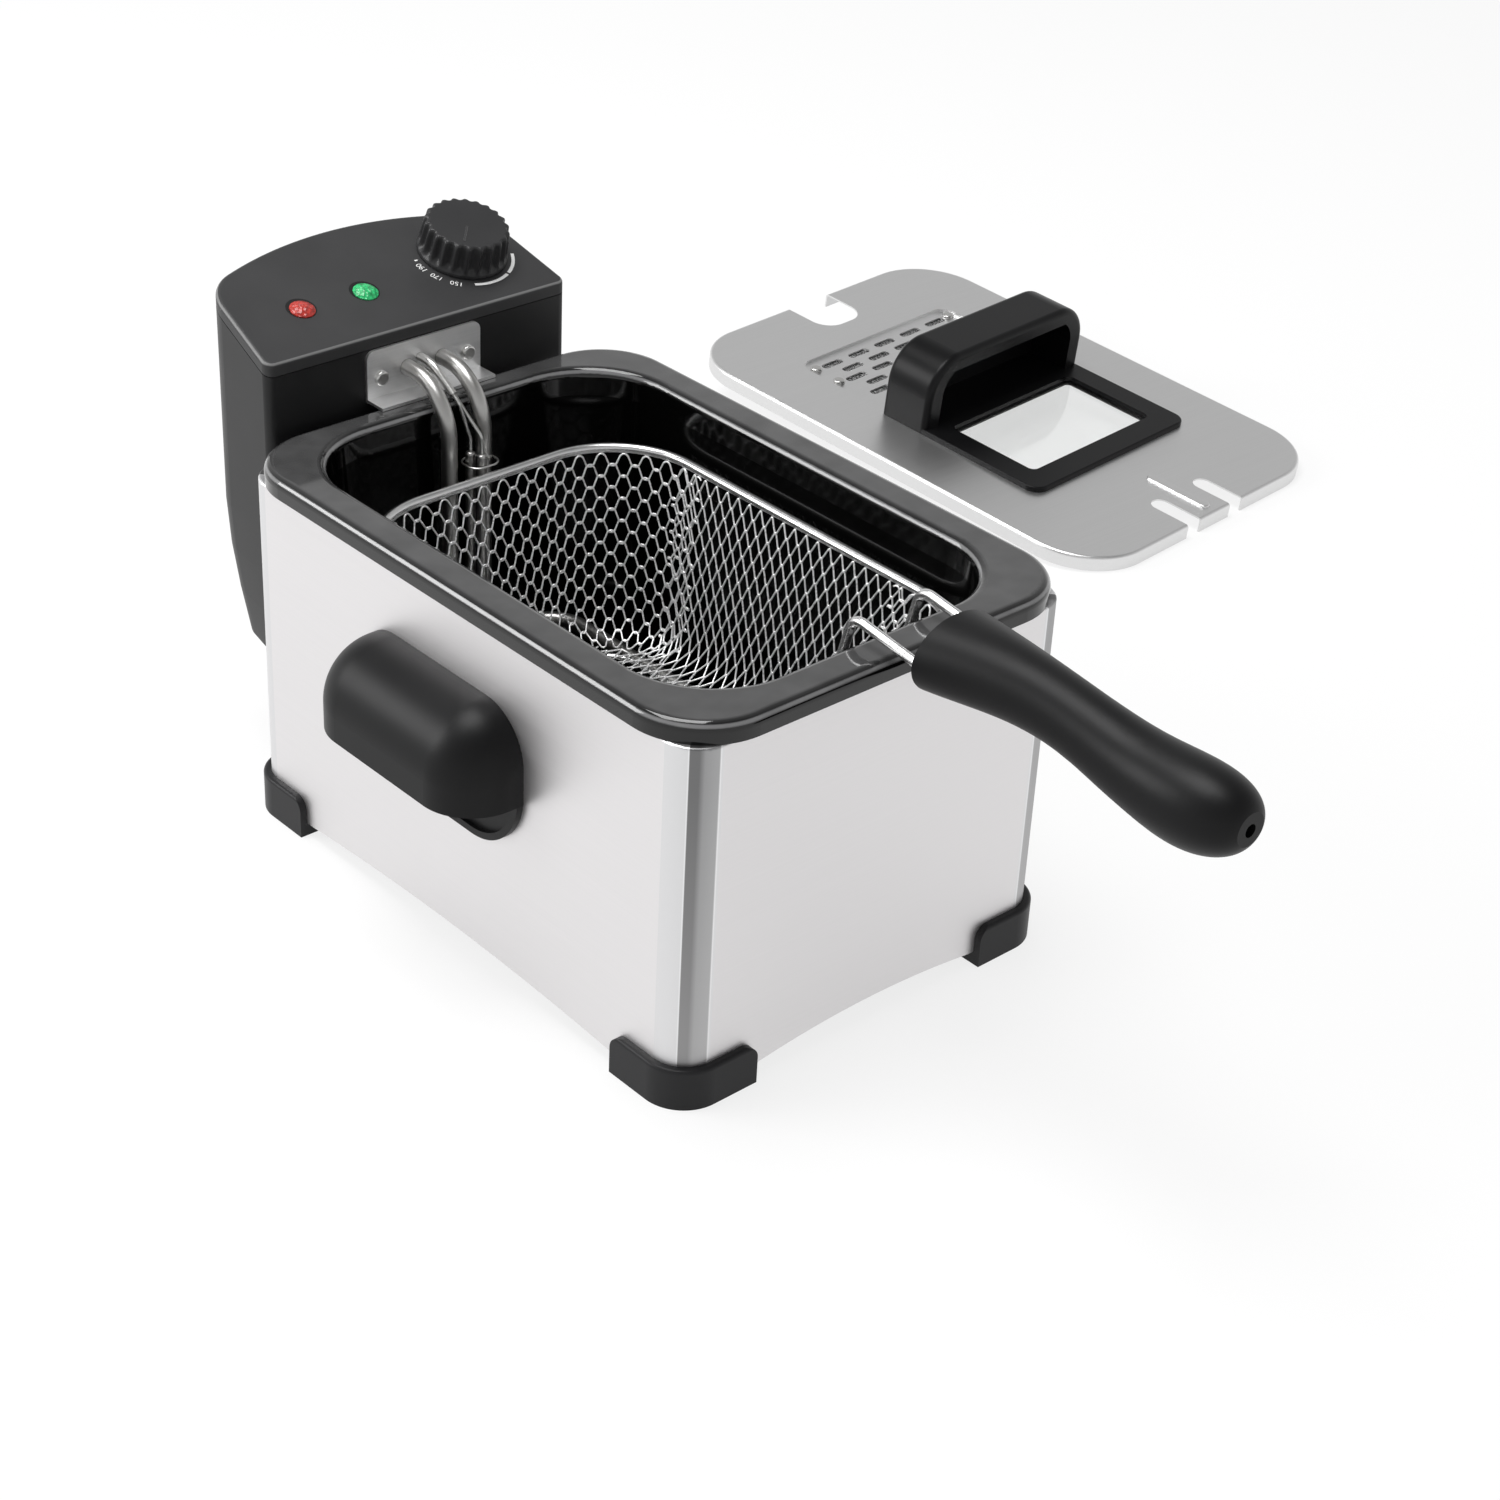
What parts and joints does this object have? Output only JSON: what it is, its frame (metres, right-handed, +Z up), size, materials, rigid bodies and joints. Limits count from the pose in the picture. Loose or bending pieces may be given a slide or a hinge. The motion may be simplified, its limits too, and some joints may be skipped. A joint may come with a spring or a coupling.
{
  "type": "deep fryer",
  "caption": "Household deep fryer: steel casing, lift-out enamelled oil tank, lift-off control head with heating element, wire basket with folding handle, and a loose lid beside it.",
  "frame": {"origin": "on the table, under the middle of the fryer and its lid together", "axes": "+Z up, -Y towards the basket handle, +Y towards the control head, the lid lies at +X"},
  "size_m": [0.6692, 0.6528, 0.2249],
  "materials": {
    "casing_steel": "fine upright brushing",
    "lid_steel": "satin",
    "plated_steel": "bright plated",
    "element_steel": "satin",
    "bright_wire": "bright plated",
    "dark_sheet": "matt",
    "black_enamel": "glossy enamel",
    "dark_plastic": "satin",
    "pale_plastic": "matt",
    "red_lens": "clear tinted",
    "green_lens": "clear tinted",
    "reset_red": "gloss",
    "wire_cover": "matt",
    "filter_mesh": "knitted",
    "clear_glass": "clear",
    "black_rubber": "matt"
  },
  "bodies": {
    "casing": {"outer_casing": "casing_steel", "base_plate": "dark_sheet", "foot_front_left": "dark_plastic", "foot_front_right": "dark_plastic", "foot_rear_left": "dark_plastic", "foot_rear_right": "dark_plastic", "foot_screws": "plated_steel", "side_handle_left": "dark_plastic", "side_handle_right": "dark_plastic", "side_handle_screws": "plated_steel", "head_rail": "plated_steel", "rail_screws": "plated_steel"},
    "tank": {"oil_tank": "black_enamel"},
    "head": {"head_body": "dark_plastic", "head_top_panel": "dark_plastic", "power_lens": "red_lens", "heat_lens": "green_lens", "lamp_holders": "pale_plastic", "thermostat": "pale_plastic", "element_plate": "plated_steel", "plate_screws": "plated_steel", "heating_element": "element_steel", "capillary_sleeve": "element_steel", "thermostat_capillary": "element_steel", "limiter_capillary": "element_steel", "thermostat_bulb": "element_steel", "limiter_bulb": "element_steel", "sensor_clip": "element_steel", "overheat_limiter": "pale_plastic", "terminal_block": "pale_plastic", "safety_switch": "dark_plastic", "cord_gland": "dark_plastic", "internal_wires": "wire_cover"},
    "dial": {"dial_knob": "dark_plastic", "knob_spindle": "plated_steel"},
    "reset": {"reset_button": "reset_red"},
    "basket": {"basket_rim": "bright_wire", "basket_mesh": "bright_wire", "basket_base_wire": "bright_wire", "handle_clips": "bright_wire"},
    "basket_handle": {"handle_wires": "bright_wire", "handle_grip": "dark_plastic"},
    "lid": {"lid_plate": "lid_steel", "filter_tray": "lid_steel", "filter_pad": "filter_mesh", "lid_screws": "plated_steel", "lid_handle": "dark_plastic", "window_pane": "clear_glass", "window_seal": "black_rubber"}
  },
  "joints": [
    {"name": "tank_lift", "type": "slide", "parent": "casing", "child": "tank", "axis": [0, 0, 1], "range_m": [0, 0.16]},
    {"name": "head_lift", "type": "slide", "parent": "tank", "child": "head", "axis": [0, 0, 1], "range_m": [0, 0.15]},
    {"name": "dial_turn", "type": "hinge", "parent": "head", "child": "dial", "pos_m": [-0.1628, 0.14951, 0.20494], "axis": [0, -0.2924, 0.9563], "range_deg": [-270, 0]},
    {"name": "reset_press", "type": "slide", "parent": "head", "child": "reset", "axis": [0, -1, 0], "range_m": [0, 0.002], "stiffness_N_per_m": 400},
    {"name": "basket_lift", "type": "slide", "parent": "head", "child": "basket", "axis": [0, 0, 1], "range_m": [0, 0.12]},
    {"name": "handle_fold", "type": "hinge", "parent": "basket", "child": "basket_handle", "pos_m": [-0.195, -0.1415, 0.128], "axis": [-1, 0, 0], "range_deg": [0, 90]},
    {"name": "lid_lift", "type": "slide", "parent": "casing", "child": "lid", "axis": [0, 0, 1], "range_m": [0, 0.25]}
  ]
}
